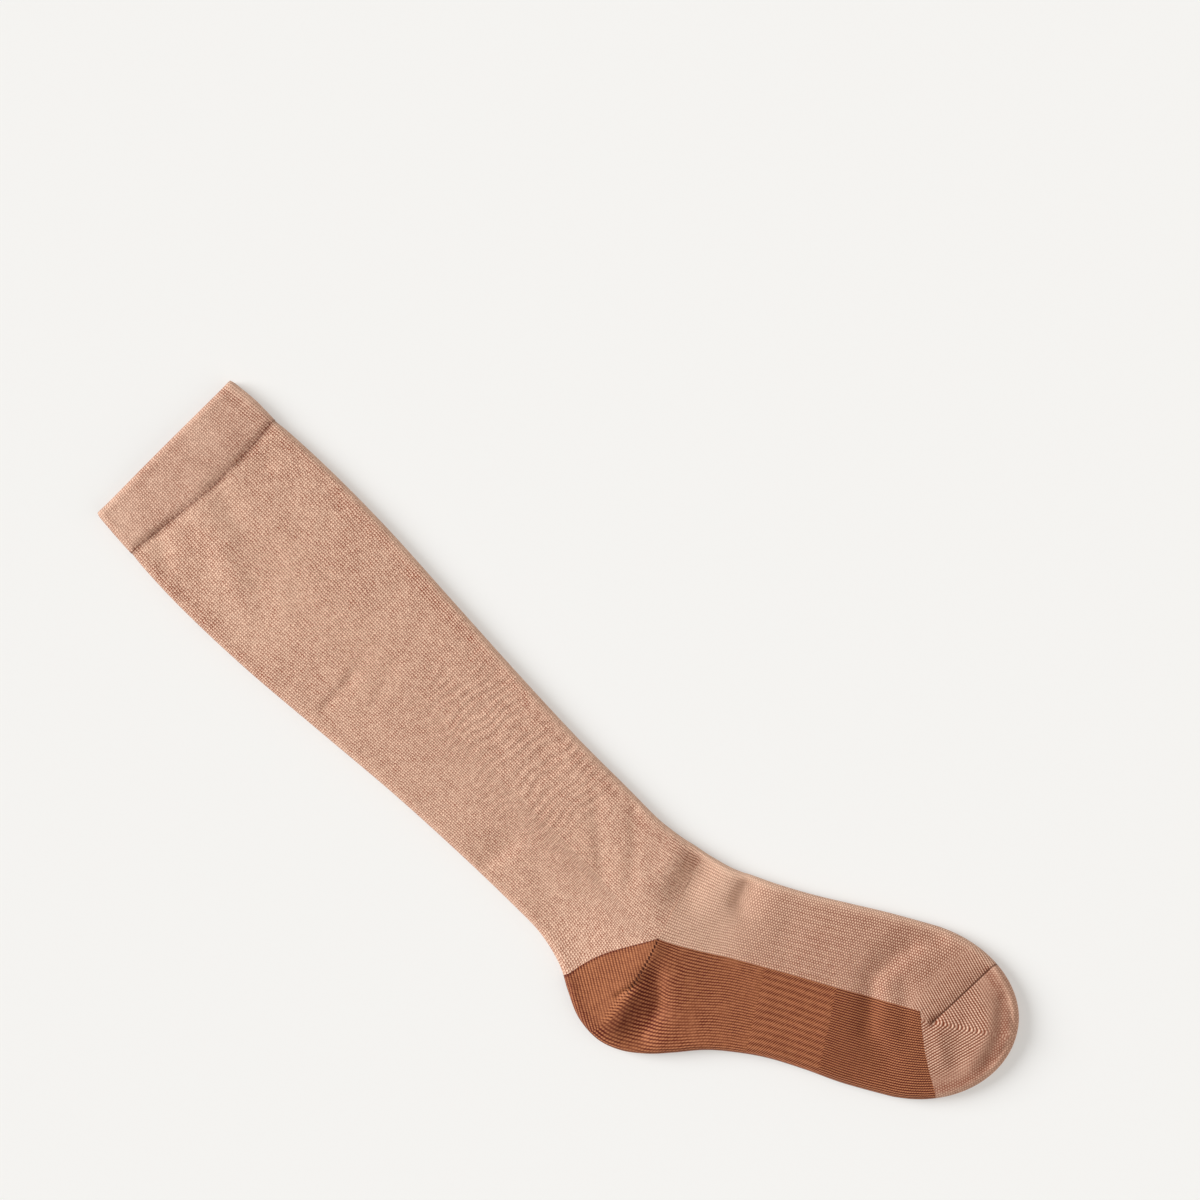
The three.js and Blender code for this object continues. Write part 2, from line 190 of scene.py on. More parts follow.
def clothPlace(station, turn, folds=largeFolds):
    # The outer face: its point, and where that point lies with the folded edges rolled out flat
    row = throughSections(station)
    back, front = row[..., 0:2], row[..., 2:4]
    rimWidth = row[..., 6]
    rimHeight = np.minimum(row[..., 7], stocking["foldRadius"])
    gap = front - back
    wide = np.hypot(gap[..., 0], gap[..., 1])
    outward = gap / np.maximum(wide, 1e-9)[..., None]
    flatHalf = np.maximum(0, wide / 2 - rimWidth)
    around = np.mod(turn, 360)
    upper = around <= 180
    fromFront = np.where(upper, around, 360 - around)
    quarter = np.where(fromFront <= 90, fromFront, 180 - fromFront)
    side = np.where(fromFront <= 90, 1, -1)
    bend = math.pi / 2 * np.clip(quarter / foldTurn, 0, 1)
    inward = np.clip((quarter - foldTurn) / (90 - foldTurn), 0, 1)
    onFlat = flatHalf + inward * (side * row[..., 5] - flatHalf)
    across = onFlat + rimWidth * np.cos(bend)
    rolled = onFlat + rimWidth * (math.pi / 2 - bend)
    rise = rimHeight * np.sin(bend)
    centre = (back + front) / 2
    plan = centre + outward * (side * across)[..., None]
    flat = centre + outward * (side * rolled)[..., None]
    share = np.minimum(1, np.abs(across) / np.maximum(flatHalf, 1e-6))
    dome = np.maximum(0, row[..., 4] - 2 * stocking["foldRadius"])
    clear = smooth(quarter, foldTurn * 0.5, foldTurn * 1.15)
    top = stocking["foldRadius"] + rise + dome * (1 - share**2) ** 2
    top = top - clear * foldDepth(plan[..., 0], plan[..., 1], folds)
    height = np.where(upper, top, stocking["foldRadius"] - rise)
    return np.concatenate([plan, height[..., None]], axis=-1), flat


def stationBeyond(start, past, turn, distance):
    # How far down each turn's column lies that far past a line, found by halving
    low = np.full_like(turn, 0.5)
    high = np.full_like(turn, tipStation)
    for _ in range(34):
        station = (low + high) / 2
        place = clothPlace(station, turn)[0]
        gone = (place[..., 0] - start[0]) * past[..., 0] + (place[..., 1] - start[1]) * past[..., 1]
        low = np.where(gone < distance, station, low)
        high = np.where(gone < distance, high, station)
    return (low + high) / 2


def sideOf(seam):
    # Where the seam crosses the side line
    turn = np.array([sideTurn])
    station = stationBeyond((0, 0), alongFoot[None, :], turn, seam["along"])
    return clothPlace(station, turn)[0][0, :2]


def stationPast(seam, turn):
    # Where each turn's column meets the seam
    side = sideOf(seam)
    fromFront = np.where(turn <= 180, turn, 360 - turn)
    ahead = np.array(seam.get("front", seam["back"])) - side
    behind = np.array(seam["back"]) - side
    line = np.where((fromFront < sideTurn)[:, None], ahead, behind)
    past = np.stack([line[:, 1], -line[:, 0]], axis=-1)
    past /= np.hypot(past[:, 0], past[:, 1])[:, None]
    past *= np.sign(past @ alongFoot)[:, None]
    toBack = np.clip((fromFront - sideTurn) / (90 - foldTurn), 0, 1)
    bow = seam.get("bow", 0) * np.sin(math.pi * toBack)
    overAll = np.clip((fromFront - foldTurn) / (180 - 2 * foldTurn), 0, 1)
    bow = bow + seam.get("wideBow", 0) * np.sin(math.pi * overAll**0.65)
    return stationBeyond(side, past, turn, bow)


# How far each section lies down the stocking's middle line, to space the rows evenly
fineStations = np.linspace(0, tipStation, 2000)
fineRows = throughSections(fineStations)
fineMiddle = (fineRows[:, 0:2] + fineRows[:, 2:4]) / 2
fineLength = np.concatenate([[0], np.cumsum(np.hypot(*np.diff(fineMiddle, axis=0).T))])


def lengthAt(station):
    return np.interp(station, fineStations, fineLength)


def stationAt(length):
    return np.interp(length, fineLength, fineStations)


def turnsThrough(stops):
    # Each stop is a turn and the number of steps that lead up to it
    turns = [np.array([stops[0][0]], dtype=float)]
    for (start, _), (stop, steps) in zip(stops, stops[1:]):
        turns.append(np.linspace(start, stop, steps + 1)[1:])
    return np.concatenate(turns)


def clothGrid(turns, start, end, rows):
    # Stations for every row and column between two seams, and the turns to go with them
    share = np.linspace(0, 1, rows + 1)[:, None]
    length = lengthAt(start)[None, :] * (1 - share) + lengthAt(end)[None, :] * share
    return stationAt(length), np.broadcast_to(turns, length.shape)


def faceNormals(place):
    down = np.gradient(place, axis=0)
    sideways = np.gradient(place, axis=1)
    normal = np.cross(sideways, down)
    return normal / np.maximum(np.linalg.norm(normal, axis=-1), 1e-9)[..., None]


def girthAt(place):
    # How far each point lies round its row
    step = np.linalg.norm(np.diff(place, axis=1), axis=-1)
    return np.concatenate([np.zeros((len(place), 1)), np.cumsum(step, axis=1)], axis=1)


def clothPiece(name, place, maps, closeRing=False):
    # A grid primitive, moved point by point onto the cloth, with its maps in millimetres
    rows, columns = place.shape[0] - 1, place.shape[1] - 1
    bpy.ops.object.select_all(action="DESELECT")
    bpy.ops.mesh.primitive_grid_add(x_subdivisions=columns, y_subdivisions=rows, size=2)
    piece = bpy.context.object
    piece.name = name
    mesh = piece.data
    mesh.name = name
    points = np.empty(len(mesh.vertices) * 3)
    mesh.vertices.foreach_get("co", points)
    points = points.reshape(-1, 3)
    column = np.rint((points[:, 0] + 1) / 2 * columns).astype(int)
    row = np.rint((points[:, 1] + 1) / 2 * rows).astype(int)
    corners = np.empty(len(mesh.loops), dtype=int)
    mesh.loops.foreach_get("vertex_index", corners)
    mesh.vertices.foreach_set("co", (place[row, column] * metre).ravel())
    while mesh.uv_layers:
        mesh.uv_layers.remove(mesh.uv_layers[0])
    for mapName, values in maps.items():
        layer = mesh.uv_layers.new(name=mapName)
        layer.uv.foreach_set("vector", values[row, column][corners].ravel())
    if closeRing:
        bpy.ops.object.mode_set(mode="EDIT")
        bpy.ops.mesh.select_all(action="SELECT")
        bpy.ops.mesh.remove_doubles(threshold=0.00001)
        bpy.ops.object.mode_set(mode="OBJECT")
    mesh.update()
    return piece


def finishCloth(piece, wall, node, material):
    # Gives the cloth its wall, smooth shading and material, and its place in the table
    bpy.ops.object.select_all(action="DESELECT")
    piece.select_set(True)
    bpy.context.view_layer.objects.active = piece
    solid = piece.modifiers.new("Wall", "SOLIDIFY")
    solid.thickness = wall * metre
    solid.offset = -1
    bpy.ops.object.modifier_apply(modifier=solid.name)
    bpy.ops.object.shade_smooth_by_angle(angle=math.radians(50))
    piece.data.materials.clear()
    piece.data.materials.append(material)
    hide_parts(*node)
    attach(piece, "root")
    print(f"{piece.name}: {len(piece.data.polygons)} faces")


class Wire:
    # A value in a material's nodes, with arithmetic
    def __init__(self, tree, socket=None):
        self.tree = tree
        self.socket = socket

    def node(self, kind, settings=None, values=None, output=0):
        made = self.tree.nodes.new(kind)
        for key, setting in (settings or {}).items():
            setattr(made, key, setting)
        for key, value in (values or {}).items():
            if isinstance(value, Wire):
                self.tree.links.new(value.socket, made.inputs[key])
            else:
                made.inputs[key].default_value = value
        return Wire(self.tree, made.outputs[output]) if made.outputs else None

    def maths(self, operation, *values):
        return self.node("ShaderNodeMath", {"operation": operation}, dict(enumerate(values)))

    def __add__(self, other):
        return self.maths("ADD", self, other)

    def __radd__(self, other):
        return self.maths("ADD", other, self)

    def __sub__(self, other):
        return self.maths("SUBTRACT", self, other)

    def __rsub__(self, other):
        return self.maths("SUBTRACT", other, self)

    def __mul__(self, other):
        return self.maths("MULTIPLY", self, other)

    def __rmul__(self, other):
        return self.maths("MULTIPLY", other, self)

    def __truediv__(self, other):
        return self.maths("DIVIDE", self, other)

    def __pow__(self, other):
        return self.maths("POWER", self, other)

    def __abs__(self):
        return self.maths("ABSOLUTE", self)

    def wave(self):
        # 1 at every whole number and 0 halfway between
        return self.maths("COSINE", self * (2 * math.pi)) * 0.5 + 0.5

    def step(self, low, high):
        # Smoothly from 0 at low to 1 at high
        return self.node(
            "ShaderNodeMapRange",
            {"interpolation_type": "SMOOTHSTEP"},
            {"Value": self, "From Min": low, "From Max": high, "To Min": 0.0, "To Max": 1.0},
        )

    def fade(self, low, high):
        # Smoothly from 1 at low to 0 at high
        return 1 - self.step(low, high)

    def between(self, under, upper):
        # This share of the way from one value to another
        return under + (upper - under) * self

    def mix(self, first, second):
        # This value mixes two colours
        return self.node(
            "ShaderNodeMix",
            {"data_type": "RGBA", "clamp_factor": True},
            {"Factor": self, "A": first, "B": second},
            output="Result",
        )


def colour(red, green, blue):
    # A colour read off as 0 to 255, made linear
    parts = [c / 255 for c in (red, green, blue)]
    return tuple(c / 12.92 if c < 0.04045 else ((c + 0.055) / 1.055) ** 2.4 for c in parts)


def newMaterial(name):
    material = bpy.data.materials.new(name)
    material.use_nodes = True
    tree = material.node_tree
    tree.nodes.clear()
    return material, Wire(tree)


def readMap(wire, name):
    # The two numbers of a map, in millimetres
    uv = wire.node("ShaderNodeUVMap", {"uv_map": name})
    across = wire.node("ShaderNodeSeparateXYZ", None, {0: uv}, output=0)
    along = wire.node("ShaderNodeSeparateXYZ", None, {0: uv}, output=1)
    return across, along


def noise(wire, scale, detail=2.0, roughness=0.5):
    place = wire.node("ShaderNodeTexCoord", output="Object")
    return wire.node(
        "ShaderNodeTexNoise",
        {"noise_dimensions": "3D"},
        {"Vector": place, "Scale": scale, "Detail": detail, "Roughness": roughness},
    )


def cellTint(wire, column, row):
    # A number from 0 to 1 for each loop of the knit, the same on every run
    place = wire.node("ShaderNodeCombineXYZ", None, {0: column, 1: row, 2: 0.0})
    return wire.node("ShaderNodeTexWhiteNoise", {"noise_dimensions": "3D"}, {"Vector": place})


def wandering(wire, across, along, sizeMm, reach):
    # Real loops don't lie quite straight, so their map is pushed about a little
    place = wire.node("ShaderNodeTexCoord", output="Object")
    push = wire.node(
        "ShaderNodeTexNoise",
        {"noise_dimensions": "3D"},
        {"Vector": place, "Scale": 1 / (sizeMm * metre), "Detail": 1.0, "Roughness": 0.5},
        output="Color",
    )
    sideways = wire.node("ShaderNodeSeparateXYZ", None, {0: push}, output=0)
    onward = wire.node("ShaderNodeSeparateXYZ", None, {0: push}, output=1)
    return across + (sideways - 0.5) * reach, along + (onward - 0.5) * reach


def ribKnit(wire, across, along, look):
    # Wales of slanted loops: how high the yarn stands, and each loop's own tint
    wale = across / look["walePitch"]
    column = wale.maths("FLOOR", wale)
    inWale = abs(wale - column - 0.5)
    course = along / look["coursePitch"] + inWale * look["slant"]
    ridge = 1 - (inWale * 2) ** 2
    loop = course.wave()
    tint = cellTint(wire, column, course.maths("FLOOR", course + 0.5))
    return ridge * (loop * 0.75 + 0.25), tint


def dotKnit(wire, across, along, look):
    # Small raised loops in rows that lean over one another
    row = across / look["dotPitch"]
    link = along / look["dotPitch"] + row * 0.55
    tint = cellTint(wire, row.maths("FLOOR", row + 0.5), link.maths("FLOOR", link + 0.5))
    return (row.wave() + link.wave() + (row - link).wave()) * 0.4 - 0.27, tint


def rowKnit(wire, across, along, look):
    # Plain rows, each a chain of short loops
    row = across / look["rowPitch"]
    link = along / look["linkPitch"] + row * 0.5
    number = row.maths("FLOOR", row + 0.5)
    tint = cellTint(wire, number, link.maths("FLOOR", link))
    return row.wave() * (link.wave() * look["linkDepth"] + 1 - look["linkDepth"]), tint


def clothMaterial(name, look, paint):
    # paint gives how light the knit is, how high it stands, and where it is open; for the leg and
    # welt that last is painted shade in the groove under the welt
    material, wire = newMaterial(name)
    light, height, *holesAndShade = paint(wire, look)
    clouds = noise(wire, 55.0, 3.0, 0.55)
    light = light + (clouds - 0.5) * look["cloud"]
    yarn = light.mix((*look["dark"], 1), (*look["light"], 1))
    # Holes, the toe's seam line and the welt groove's painted shade all darken towards the gap
    # colour
    for holeAndShade in holesAndShade:
        yarn = holeAndShade.mix(yarn, (*look["gap"], 1))
    bump = wire.node(
        "ShaderNodeBump",
        None,
        {"Strength": 1.0, "Distance": look["reliefMm"] * metre, "Height": height},
    )
    shader = wire.node(
        "ShaderNodeBsdfPrincipled",
        None,
        {
            "Base Color": yarn,
            "Roughness": look["roughness"],
            "Specular IOR Level": look["specular"],
            "Sheen Weight": look["sheen"],
            "Sheen Roughness": 0.45,
            "Sheen Tint": (*look["sheenTint"], 1),
            "Normal": bump,
        },
    )
    wire.node("ShaderNodeOutputMaterial", None, {"Surface": shader})
    return material


def knitLight(height, tint, look):
    # Raised yarn is paler than the gaps between, partly the knit's own look and partly painted
    # shade in the gaps, and each loop is its own tint
    return look["middle"] + (height - 0.33) * look["contrast"] + (tint - 0.5) * look["speckle"]


def unevenness(x, y, size, seed):
    # Soft hills between about -1 and 1, the same on every run
    points = zip((x / size + seed).ravel().tolist(), (y / size).ravel().tolist())
    return np.array([hills.noise(Vector((u, v, seed))) for u, v in points]).reshape(x.shape)


def upperOnly(turn):
    # 1 on the upper layer, falling to 0 over the folded edges
    around = np.mod(turn, 360)
    quarter = np.where(around <= 90, around, 180 - around)
    return np.where(around <= 180, smooth(quarter, foldTurn * 0.3, foldTurn * 1.2), 0)


def inFrontHalf(turn):
    # 1 ahead of the middle of each layer, and 0 behind it
    return np.where(np.cos(np.radians(turn)) > 0, 1.0, 0.0)


def edgesOnly(turn):
    # 1 at the folded edges, falling to 0 on both layers
    around = np.mod(turn, 180)
    return 1 - smooth(np.minimum(around, 180 - around), foldTurn * 0.3, foldTurn * 1.2)


def lifted(place, rise):
    # The cloth with each point raised along its own normal, and never under the floor
    raised = place + faceNormals(place) * rise[..., None]
    raised[..., 2] = np.maximum(raised[..., 2], 0)
    return raised


# Shallow creases in the cloth itself, laid over the large folds
softFolds = [
    ([(-48, 87), (-34, 78), (-18, 75)], 8.0, 4.0, 1.3),
    ([(28, 60), (17, 47), (4, 31)], 4.5, 3.5, 0.8),
    ([(40, 44), (28, 32), (12, 19)], 4.5, 3.5, 0.8),
    ([(-9, 309), (-19, 270)], 7.0, 7.0, -1.3),  # the upper leg's stripes and dimples
    ([(6, 310), (0, 284)], 6.0, 6.0, 0.6),
    ([(-33, 313), (-42, 298)], 4.0, 5.0, 1.0),
    ([(24, 309), (31, 300)], 4.0, 4.0, 0.8),
    ([(-14, 194), (-35, 192)], 3.5, 2.5, 0.8),
    ([(45, 290), (43, 200), (38, 120)], 3.0, 4.0, 0.25),
    ([(-4, 196), (-22, 190)], 4.0, 2.5, 0.4),
    ([(6, 183), (-20, 174)], 4.0, 2.5, 0.35),
    ([(-15, -28), (-23, -35.5), (-38, -39)], 3.5, 10.0, 1.5),  # deeper in the heel's hollow
    ([(-20, -20.5), (-33, -17)], 2.0, 1.4, 1.2),  # where the heel's stitches end
    ([(69, -144.5), (60, -157)], 4.0, 4.0, -0.8),  # the toe's own swell and hollow
    ([(89, -147), (75, -154.5), (65, -162)], 5.0, 5.5, 0.7),
    ([(92, -159), (84, -165), (68, -170)], 4.0, 4.0, -0.7),
    ([(102, -158), (91, -168), (76, -174)], 3.0, 3.0, 0.9),
    ([(106, -160), (93, -170), (78, -176)], 3.0, 4.0, -0.4),
    ([(60, -52), (42, -60)], 10.0, 6.0, 0.4),
    ([(62, -21), (45, -27)], 8.0, 5.5, 0.95),  # deeper creases over the ankle
    ([(56, 3), (34, -2)], 9.0, 6.5, 0.85),
    ([(89, -106), (66, -103), (46, -120)], 4.0, 6.0, 1.4),
]
allFolds = largeFolds + softFolds

legLook = {
    "light": colour(242, 205, 179),
    "dark": colour(130, 54, 26),
    "gap": colour(88, 44, 26),
    "walePitch": 1.35,
    "coursePitch": 1.25,
    "slant": 1.2,
    "wander": 1.5,
    "middle": 0.565,
    "contrast": 1.4,
    "speckle": 0.34,
    "cloud": 0.22,
    "reliefMm": 0.30,
    "roughness": 0.88,
    "specular": 0.2,
    "sheen": 0.1,
    "sheenTint": (1.0, 0.86, 0.80),
    "patches": 0.6,
    "waleShade": 0.2,
    # painted light along the front edge, and painted shade by the back edge
    "frontPaintedLight": 0.35,
    "backPaintedShade": 0.09,
    # painted shade in the groove under the welt: how far it reaches, and how dark
    "grooveShade": 2.6,
    "grooveDark": 0.25,
    "girth": 208.0,
}


def paintLeg(wire, look):
    across, along = readMap(wire, "knit")
    fromSeam, fromFront = readMap(wire, "seam")
    height, tint = ribKnit(wire, *wandering(wire, across, along, 3.0, look["wander"]), look)
    light = knitLight(height, tint, look)
    # Patches of shade near the top, straight wales by the front edge, painted light along the front
    # edge and painted shade by the back edge
    patches = noise(wire, 40.0, 2.0, 0.6)
    light = light + (patches - 0.5) * look["patches"] * along.fade(60.0, 170.0)
    wales = (fromFront / look["walePitch"]).wave()
    light = light - wales * abs(fromFront - 7.5).fade(3.0, 5.5) * look["waleShade"]
    light = light + fromFront.fade(3.0, 8.0) * look["frontPaintedLight"]
    toBack = look["girth"] / 2
    light = light - fromFront.step(toBack - 6.0, toBack - 2.0) * look["backPaintedShade"]
    # Painted shade where the cloth goes down into the groove under the welt
    sunk = fromSeam.fade(0.2, look["grooveShade"])
    return light - sunk * 0.12, height, sunk * look["grooveDark"]


legPiece = {
    "wall": 1.2,
    "rows": 345,
    "turns": [(0, 0), (foldTurn, 6), (180 - foldTurn, 84), (180 + foldTurn, 12),
              (360 - foldTurn, 14), (360, 6)],
    "ripplePitch": 5.4,
    "ripple": 0.36,
    "dents": 0.5,
    "dimples": 0.35,
    "edgesDrawn": 0.3,  # how far in both edges start under the welt, and the front below it
    "frontDrawn": 1.0,
}


def makeLeg():
    turns = turnsThrough(legPiece["turns"])
    start = stationPast(seams["welt"], turns)
    end = stationPast(seams["heelTop"], turns)
    station, turn = clothGrid(turns, start, end, legPiece["rows"])
    place, _ = clothPlace(station, turn, allFolds)
    girth = girthAt(place)
    across = girth / girth[:, -1:] * legLook["girth"]
    fromFront = np.minimum(girth, girth[:, -1:] - girth)
    x, y = place[..., 0], place[..., 1]
    # Dimples all over, and fine crosswise ripples on the front half above the ankle
    dents = unevenness(x * 1.5, y, 21.0, 3.1) * legPiece["dents"]
    dents += unevenness(x, y, 9.5, 5.3) * legPiece["dimples"] * (0.4 + 0.6 * smooth(y, 150, 260))
    wander = unevenness(x, y, 15.0, 7.7) * 6 + x * 0.12
    ripples = np.cos(2 * math.pi * (y + wander) / legPiece["ripplePitch"])
    ripples *= smooth(y, 40, 72) * (1 - smooth(y, 135, 190)) * smooth(x, -28, 8)
    ripples *= 0.55 + 0.45 * unevenness(x, y, 14.0, 1.3)
    rise = (dents + ripples * legPiece["ripple"]) * upperOnly(turn)
    # The leg draws in under the welt, so its edges start a little inside
    length = lengthAt(station)
    fromWelt = length - length[0]
    drawn = legPiece["edgesDrawn"] * np.exp(-((fromWelt / 5) ** 2))
    drawn += legPiece["frontDrawn"] * np.exp(-((fromWelt / 70) ** 2)) * inFrontHalf(turn)
    rise -= drawn * edgesOnly(turn)
    place = lifted(place, rise)
    maps = {
        "knit": np.stack([across, length], axis=-1),
        "seam": np.stack([fromWelt, fromFront], axis=-1),
    }
    piece = clothPiece("leg_knit", place, maps, closeRing=True)
    material = clothMaterial("leg_knit", legLook, paintLeg)
    finishCloth(piece, legPiece["wall"], ["leg"], material)


weltLook = dict(
    legLook,
    light=colour(238, 201, 177),
    dark=colour(130, 62, 36),
    contrast=1.1,
    speckle=0.26,
    cloud=0.4,
    patches=0.5,
    grooveShade=1.7,
    grooveDark=0.45,
)

weltPiece = {
    "wall": 2.0,
    "rows": 78,
    "bulge": 0.5,
    "flare": 1.4,
    "edgeWidth": 3.4,  # how far the turned edge is round, and how far it drops
    "edgeDrop": 1.5,
    "dents": 0.4,
    "grooveDepth": 0.9,
    "grooveWidth": 3.8,
    "teeth": 3.1,  # from one to the next
}


def makeWelt():
    turns = turnsThrough(legPiece["turns"])
    start = np.full_like(turns, 0.0)
    end = stationPast(seams["welt"], turns)
    station, turn = clothGrid(turns, start, end, weltPiece["rows"])
    place, _ = clothPlace(station, turn, allFolds)
    girth = girthAt(place)
    across = girth / girth[:, -1:] * legLook["girth"]
    fromFront = np.minimum(girth, girth[:, -1:] - girth)
    fromEdge = lengthAt(station)
    depth = lengthAt(end)[None, :]
    toSeam = depth - fromEdge
    # The turned edge is round, and the lower end dips into a slightly toothed groove
    dip = weltPiece["edgeDrop"] * np.clip(1 - fromEdge / weltPiece["edgeWidth"], 0, 1) ** 2
    teeth = 0.4 * np.cos(2 * math.pi * across / weltPiece["teeth"])
    groove = 1 - smooth(toSeam, 0, weltPiece["grooveWidth"] + teeth)
    dents = unevenness(place[..., 0], place[..., 1], 16.0, 9.2) * weltPiece["dents"]
    upper = upperOnly(turn)
    rise = (dents - groove * weltPiece["grooveDepth"]) * upper - dip * (0.4 + 0.6 * upper)
    # It flares a little to its edge, and bulges at the front over where the leg draws in
    share = fromEdge / depth
    bulge = weltPiece["bulge"] * np.sin(math.pi * share) ** 2 - legPiece["frontDrawn"] * share
    rise += (weltPiece["flare"] * (1 - share) + bulge * inFrontHalf(turn)) * edgesOnly(turn)
    place = lifted(place, rise)
    maps = {
        "knit": np.stack([across, fromEdge], axis=-1),
        "seam": np.stack([toSeam - teeth * 1.6, fromFront], axis=-1),
    }
    piece = clothPiece("welt_knit", place, maps, closeRing=True)
    material = clothMaterial("welt_knit", weltLook, paintLeg)
    finishCloth(piece, weltPiece["wall"], ["welt"], material)


footLook = dict(
    legLook,
    dark=colour(124, 58, 32),
    contrast=1.1,
    wander=0.8,
    speckle=0.12,
    dotPitch=1.32,
    rowPitch=1.3,
    linkPitch=1.2,
    linkDepth=0.5,
    ribPitch=3.8,
    footShade=0.12,  # darker along the foot, and more over its ball
    ballShade=0.06,
    # painted light along the instep's front edge
    instepPaintedLight=0.28,
)

# The toe's linking seam, from its inner end to the front of the foot
toeSeam = {"inner": onFoot(156.5, -8.7), "front": onFoot(181.1, 29.5)}


def toeSeamMap(flat):
    # How far along the linking seam, and how far to its left
    inner, front = toeSeam["inner"], toeSeam["front"]
    line = (front - inner) / np.linalg.norm(front - inner)
    away = flat - inner
    return np.stack([away @ line, away @ np.array([-line[1], line[0]])], axis=-1)


def seamRows(wire, seamAlong, seamAside):
    # Above the linking seam the rows lean over it a little
    lean = math.radians(13)
    across = seamAlong * math.cos(lean) - seamAside * math.sin(lean)
    along = seamAside * math.cos(lean) + seamAlong * math.sin(lean)
    return rowKnit(wire, across, along, footLook)


def paintInstep(wire, look):
    across, along = readMap(wire, "knit")
    seamAlong, seamAside = readMap(wire, "seam")
    pastStart, pastEnd = readMap(wire, "arch")
    fromFront, _ = readMap(wire, "edge")
    loose = wandering(wire, across, along, 3.0, look["wander"])
    ribs, ribTint = ribKnit(wire, *loose, look)
    dots, dotTint = dotKnit(wire, *loose, look)
    rows, rowTint = seamRows(wire, seamAlong, seamAside)
    # Plain rib over the ankle, dots along the foot, and rows square to the seam beside it
    forward = along.step(378.0, 410.0)
    beside = abs(seamAside).fade(9.0, 21.0) * seamAlong.step(-10.0, 2.0)
    height = beside.between(forward.between(ribs, dots), rows)
    tint = beside.between(forward.between(ribTint, dotTint), rowTint)
    arch = pastStart.step(-1.0, 1.0) - pastEnd.step(-1.0, 1.0)
    band = (across / look["ribPitch"]).wave() * arch
    light = knitLight(height, tint, look) + (band - arch * 0.5) * 0.08
    light = light - along.step(370.0, 440.0) * look["footShade"]
    light = light - along.step(440.0, 500.0) * look["ballShade"]
    # Painted light along the front edge
    light = light + fromFront.fade(3.0, 8.0) * look["instepPaintedLight"]
    return light, height


instepPiece = {
    "wall": 1.5,
    "rows": 250,
    "turns": [(-sideTurn, 0), (-foldTurn, 14), (0, 6), (foldTurn, 8), (sideTurn, 92)],
    "girth": 92.0,
    "dents": 0.25,
}


def makeInstep():
    turns = turnsThrough(instepPiece["turns"])
    start = stationPast(seams["heelTop"], np.abs(turns))
    end = stationPast(seams["toe"], np.abs(turns))
    station, turn = clothGrid(turns, start, end, instepPiece["rows"])
    place, flat = clothPlace(station, turn, allFolds)
    girth = girthAt(place)
    across = girth / girth[:, -1:] * instepPiece["girth"]
    fromFront = np.abs(girth - girth[:, turns == 0])
    x, y = place[..., 0], place[..., 1]
    dents = unevenness(x, y, 15.0, 2.4) + 0.4 * unevenness(x, y, 7.0, 4.6)
    place = lifted(place, dents * instepPiece["dents"] * upperOnly(turn))
    maps = {
        "edge": np.stack([fromFront, fromFront], axis=-1),
        "knit": np.stack([across, lengthAt(station)], axis=-1),
        "seam": toeSeamMap(flat),
        "arch": archMap(flat),
    }
    piece = clothPiece("instep_knit", place, maps)
    material = clothMaterial("instep_knit", footLook, paintInstep)
    finishCloth(piece, instepPiece["wall"], ["instep"], material)


copperLook = {
    "light": colour(194, 127, 86),
    "dark": colour(86, 18, 5),
    "gap": colour(66, 20, 7),
    "rowPitch": 1.5,
    "linkPitch": 1.2,
    "linkDepth": 0.6,
    "ribPitch": 3.8,
    "middle": 0.47,
    "contrast": 1.2,
    "speckle": 0.2,
    "cloud": 0.12,
    "reliefMm": 0.25,
    "roughness": 0.75,
    "specular": 0.25,
    "sheen": 0.08,
    "sheenTint": (1.0, 0.75, 0.6),
    # painted light over the heel
    "heelPaintedLight": 0.07,
    "frontShade": 0.04,
    # painted light over the ball of the sole
    "ballPaintedLight": 0.12,
    "hollowShade": 0.16,
    "heelEdgeShade": 0.24,
}

frontLook = dict(copperLook, rowPitch=1.36)

gore = {
    # The heel's gore line, from ahead of its apex back to the edge
    "line": [(9.0, -7.5), (2.85, -10.6), (-10.8, -15.4), (-24.8, -18.9), (-32.7, -20.3),
             (-40.3, -21.2), (-48.5, -22.0), (-59.0, -21.0)],
    "ahead": 6.9,  # from the line's start to the apex
    "pitch": 2.1,
    "heelRowTurn": 149.0,  # degrees across the rows above the line
    "hollowRight": 9.2,  # how far to the picture's right, and up, the heel's hollow reaches
    "hollowBelow": -55.1,
}


